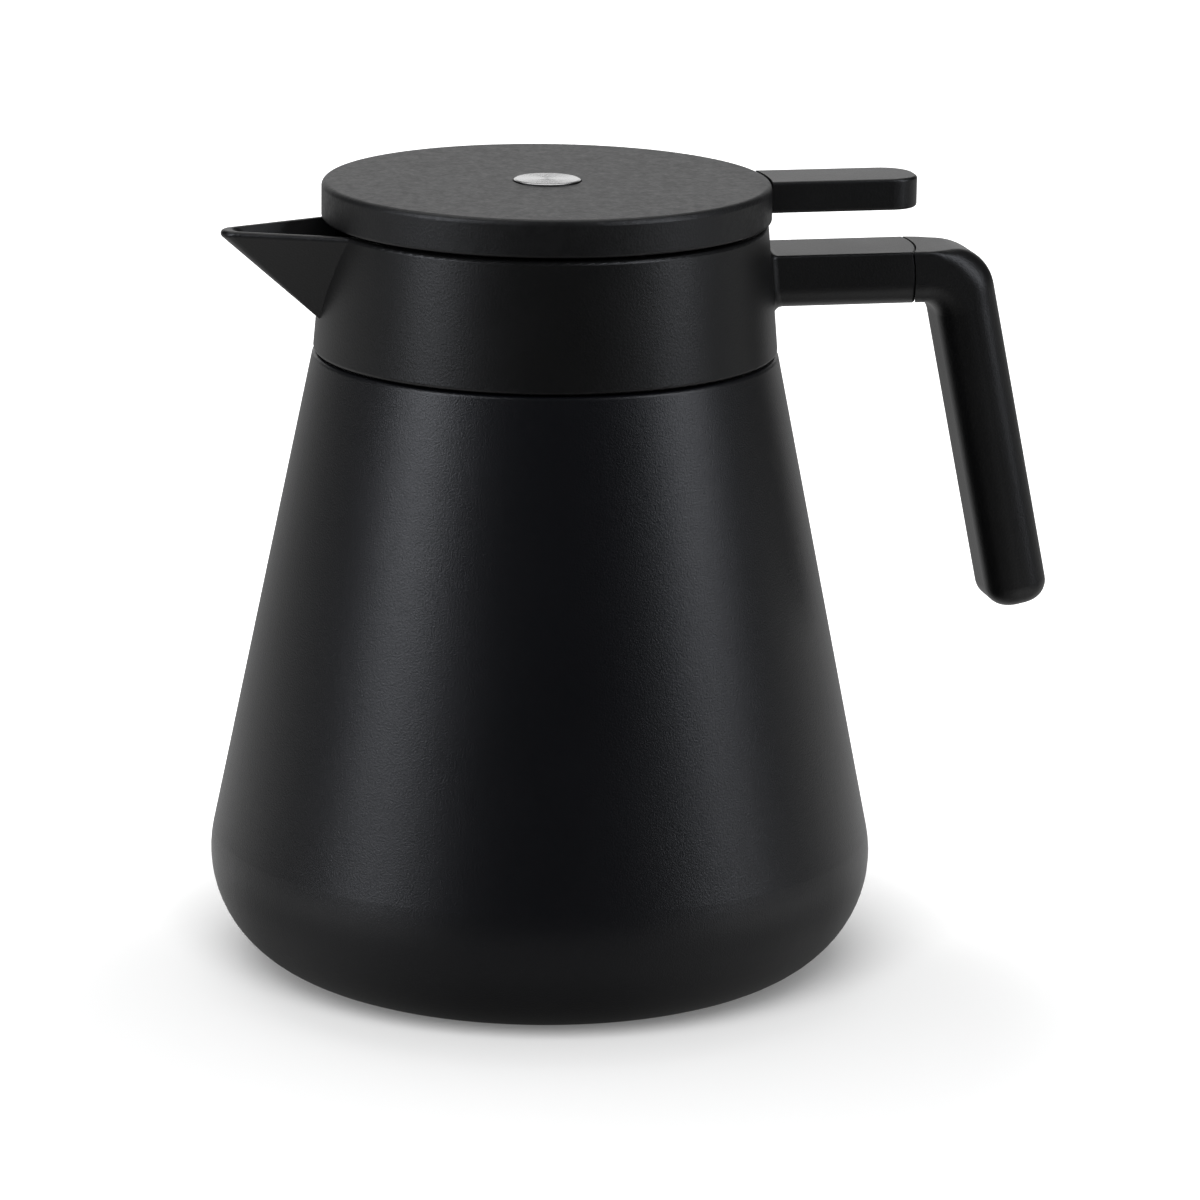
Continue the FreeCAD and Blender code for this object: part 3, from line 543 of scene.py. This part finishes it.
def screwProfile(shape):  # head down, its seat on z = 0
    head = shape["head"]
    bend = shape["headRound"]
    face = -shape["headHeight"]
    shank = shape["shank"]
    pitch = shape["thread"]
    length = shape["length"]
    profile = [(0, face), (head - bend, face)]
    for i in range(1, shape["roundSteps"] + 1):
        turn = quarterTurn * i / shape["roundSteps"]
        profile.append((head - bend * (1 - math.sin(turn)), face + bend * (1 - math.cos(turn))))
    profile += [(head, 0), (shank, 0)]
    height = pitch
    while height < length - pitch:
        profile += [(shank, height), (shank - shape["threadDepth"], height + pitch / 2)]
        height += pitch
    profile += [(shank, length - pitch), (shank / 2, length), (0, length)]
    return profile


def makeScrew(shape):
    blank = linked("screwBlank", turnedMesh("screwBlank", screwProfile(shape), shape["segments"]))
    cutter = linked("crossCutter", crossMesh(shape))
    recess = blank.modifiers.new("recess", "BOOLEAN")
    recess.object = cutter
    recess.solver = "EXACT"
    screw = meshAfterModifiers(blank)
    bpy.data.objects.remove(blank)
    bpy.data.objects.remove(cutter)
    return screw


def makeScrews(plan, shape):
    screws = Growth("lidScrews", plan)
    ring = {"Vertices": shape["count"], "Radius": screws.size("circle")}
    circle = screws.add("GeometryNodeMeshCircle", sockets=ring)
    seat = screws.add("ShaderNodeCombineXYZ", sockets={2: screws.size("seat")})
    turn = screws.add("ShaderNodeCombineXYZ", sockets={2: screws.size("firstAngle")})
    move = {"Geometry": circle, "Translation": seat, "Rotation": turn}
    placed = screws.add("GeometryNodeTransform", sockets=move)
    copies = {"Points": placed, "Instance": screws.size("Geometry")}
    spread = screws.add("GeometryNodeInstanceOnPoints", sockets=copies)
    return screws.grow(spread, makeScrew(shape), brightSteel)


addPiece("lidScrews", makeScrews(screwPlan, screwShape), None, "lid", "stainless", "lid_screws")

# Foam in the plug: a stepped pad with soft corners
foamPlan = {
    "nose": 30.6 * mm, "wide": 38.6 * mm, "low": 170.0 * mm, "step": 183.8 * mm, "high": 194.6 * mm,
    "bend": 1.2 * mm, "bendSteps": 4, "segments": 72,
}


def foamProfile(plan):
    bend = plan["bend"]

    def corner(radius, height, start):  # quarter turn round a corner, outwards and up
        for i in range(plan["bendSteps"] + 1):
            turn = start + quarterTurn * i / plan["bendSteps"]
            yield (radius - bend + bend * math.cos(turn), height + bend * math.sin(turn))

    profile = [(0, plan["low"])]
    profile += corner(plan["nose"], plan["low"] + bend, -quarterTurn)
    profile.append((plan["nose"], plan["step"]))
    profile += corner(plan["wide"], plan["step"] + bend, -quarterTurn)
    profile += corner(plan["wide"], plan["high"] - bend, 0)
    profile.append((0, plan["high"]))
    return profile


foamMesh = turnedMesh("plugFoam", foamProfile(foamPlan), foamPlan["segments"])
plugFoam = addPiece("plugFoam", foamMesh, paleFoam, "lid", "foam", "plug_foam")
print("button, spring, screws and foam made")

# Camera at the photo's angle
cameraPlan = {
    "place": (-0.3139, -1.47681, 0.47024), "lens": 180, "sensor": 36,
    "tilt": 76.112, "turn": -12.5646, "roll": 0.761,
}


def makeCamera(plan):
    view = bpy.data.cameras.new("photoCamera")
    view.lens = plan["lens"]
    view.sensor_width = plan["sensor"]
    aim = Euler((math.radians(plan["tilt"]), 0, math.radians(plan["turn"]))).to_matrix()
    aim = aim @ Matrix.Rotation(math.radians(plan["roll"]), 3, "Z")
    camera = linked("photoCamera", view)
    camera.matrix_world = Matrix.Translation(plan["place"]) @ aim.to_4x4()
    return camera


scene.camera = makeCamera(cameraPlan)

# Studio: two tall panels for the bright bands, a soft ceiling, and a front panel for the floor
coolWhite = (0.90, 0.93, 1.0)
plainWhite = (1.0, 1.0, 1.0)
panels = {
    "leftPanel": {"place": (-0.85, -0.30, 0.60), "size": (0.30, 1.0), "watts": 5.7, "tint": coolWhite},
    "rightPanel": {"place": (0.765, -0.515, 0.60), "size": (0.26, 1.0), "watts": 4.5, "tint": coolWhite},
    "ceiling": {"place": (0.0, 0.50, 1.30), "size": (1.2, 0.9), "watts": 4.5, "tint": plainWhite},
    "topPanel": {"place": (-0.40, -1.35, 1.0), "size": (1.2, 1.0), "watts": 33.0, "tint": plainWhite},
}
shadowPanels = ["topPanel"]  # lights the floor and makes the shadow, and stays out of the gloss
bandPanels = ["leftPanel", "rightPanel"]  # only seen in the gloss
panelTarget = Vector((0, 0, 0.12))


def makeLamp(name, panel):
    light = bpy.data.lights.new(name, "AREA")
    light.shape = "RECTANGLE"
    light.size, light.size_y = panel["size"]
    light.energy = panel["watts"]
    light.color = panel["tint"]
    lamp = linked(name, light)
    lamp.location = panel["place"]
    lamp.rotation_euler = (panelTarget - lamp.location).to_track_quat("-Z", "Y").to_euler()
    lamp.visible_glossy = name not in shadowPanels
    lamp.visible_diffuse = name not in bandPanels


for name, panel in panels.items():
    makeLamp(name, panel)

# World: white to the camera, even fill for the room, and a pale back wall for gloss
worldPlan = {
    "fill": 0.36, "back": (0.139, 0.990, 0),
    "wall": [(0.0, 0.01), (0.60, 0.02), (0.92, 0.08), (0.985, 1.2)],  # from the front round to the back
}


def makeWorld(plan):
    world = bpy.data.worlds.new("studio")
    world.use_nodes = True
    sky = Tree(world.node_tree)
    sky.nodeTree.nodes.clear()
    direction = sky.add("ShaderNodeTexCoord", output="Generated")
    facing = sky.along(direction, plan["back"])
    wall = sky.add("ShaderNodeValToRGB", {"stops": plan["wall"]}, {0: facing * 0.5 + 0.5})
    cameraRay = sky.add("ShaderNodeLightPath", output="Is Camera Ray")
    tone = sky.mixColours(cameraRay.sibling("Is Glossy Ray"), grey(plan["fill"]), wall)
    tone = sky.mixColours(cameraRay + cameraRay.sibling("Is Transmission Ray"), tone, grey(1))
    background = sky.add("ShaderNodeBackground", sockets={"Color": tone})
    sky.add("ShaderNodeOutputWorld", sockets={"Surface": background})
    return world


scene.world = makeWorld(worldPlan)

# Floor: shaded near the jug, white further out, clear from below; gloss sees it in tones of its own
floorPlan = {
    "half": 4.0, "drop": 0.1 * mm,
    "paper": {
        "Base Color": grey(0.8), "Roughness": 0.9, "Specular IOR Level": 0.1, "Emission Color": grey(1),
    },
    "lift": 0.15, "fadeCentre": (-0.012, -0.06), "fade": (0.11, 0.27),
}
# Gloss sees the floor as a glow of painted tones: bright behind the jug and dim in front, with painted
# contact shadow round the foot and a band of painted panel light towards each tall panel
mirrorPlan = {
    "span": 2.0, "far": [(0.0, 0.0), (0.49, 0.0), (0.54, 0.66), (0.75, 0.48)],
    "near": 0.20, "nearFade": (0.10, 0.45), "farShare": 0.15,
    "side": 0.12, "across": (0.978, -0.208, 0), "sideFade": (0.15, 0.80),
    "frontFade": (-0.5, 0.3), "backShare": 0.4,
    "contactFade": (0.065, 0.105), "contactShadeShare": 0.36,
    "band": 0.7, "bandStart": (0.12, 0.24), "bandEnd": (0.30, 0.55), "bandSpread": (0.84, 0.99),
}


def mirrorTone(paper, plan):
    distance = paper.axisDistance()
    behind = paper.along(paper.place, worldPlan["back"])
    far = paper.add("ShaderNodeValToRGB", {"stops": plan["far"]}, {0: behind / plan["span"] + 0.5})
    sideways = paper.along(paper.place, plan["across"]).unsigned() / distance
    sideShare = paper.eased(sideways, *plan["sideFade"], 0.0, 1.0)
    frontShare = paper.eased(behind / distance, *plan["frontFade"], 1.0, plan["backShare"])
    nearShare = paper.eased(distance, *plan["nearFade"], 1.0, plan["farShare"])
    near = nearShare * frontShare * (plan["near"] + plan["side"] * sideShare)
    # Painted contact shadow: the glow is dimmer close round the foot
    contactShadeShare = paper.eased(distance, *plan["contactFade"], plan["contactShadeShare"], 1.0)
    # Painted panel light: a glowing band on the floor towards each tall panel
    bandRise = paper.eased(distance, *plan["bandStart"], 0.0, plan["band"])
    bandFall = paper.eased(distance, *plan["bandEnd"], 1.0, 0.0)
    bands = []
    for name in bandPanels:
        towards = Vector(panels[name]["place"]).xy.normalized().to_3d()
        spread = paper.along(paper.place, towards) / distance
        bands.append(paper.eased(spread, *plan["bandSpread"], 0.0, 1.0))
    return contactShadeShare * (far + near) + bandRise * bandFall * sum(bands)


def makePaper(plan):
    paper = Finish("palePaper", plan["paper"])
    cameraRay = paper.add("ShaderNodeLightPath", output="Is Camera Ray")
    fade = paper.eased(paper.axisDistance(*plan["fadeCentre"]), *plan["fade"], plan["lift"], 1.0)
    paper.set("Emission Strength", cameraRay * fade)
    shaded = Wire(paper, paper.shader.outputs[0])
    glow = {"Color": grey(1), "Strength": mirrorTone(paper, mirrorPlan)}
    mirrored = paper.add("ShaderNodeEmission", sockets=glow)
    glossRay = cameraRay.sibling("Is Glossy Ray")
    above = paper.add("ShaderNodeMixShader", sockets={0: glossRay, 1: shaded, 2: mirrored})
    fromBelow = paper.add("ShaderNodeNewGeometry", output="Backfacing")
    clear = paper.add("ShaderNodeBsdfTransparent")
    seen = paper.add("ShaderNodeMixShader", sockets={0: fromBelow, 1: above, 2: clear})
    paper.feed(paper.nodeTree.nodes["Material Output"].inputs["Surface"], seen)
    return paper.material


def makeFloor(plan):
    half = plan["half"]
    outline = [(-half, -half), (half, -half), (half, half), (-half, half)]
    mesh = bpy.data.meshes.new("floor")
    mesh.from_pydata([(x, y, -plan["drop"]) for x, y in outline], [], [(0, 1, 2, 3)])
    mesh.materials.append(makePaper(plan))
    return linked("floor", mesh)


floor = makeFloor(floorPlan)
print("camera, lights and floor set")
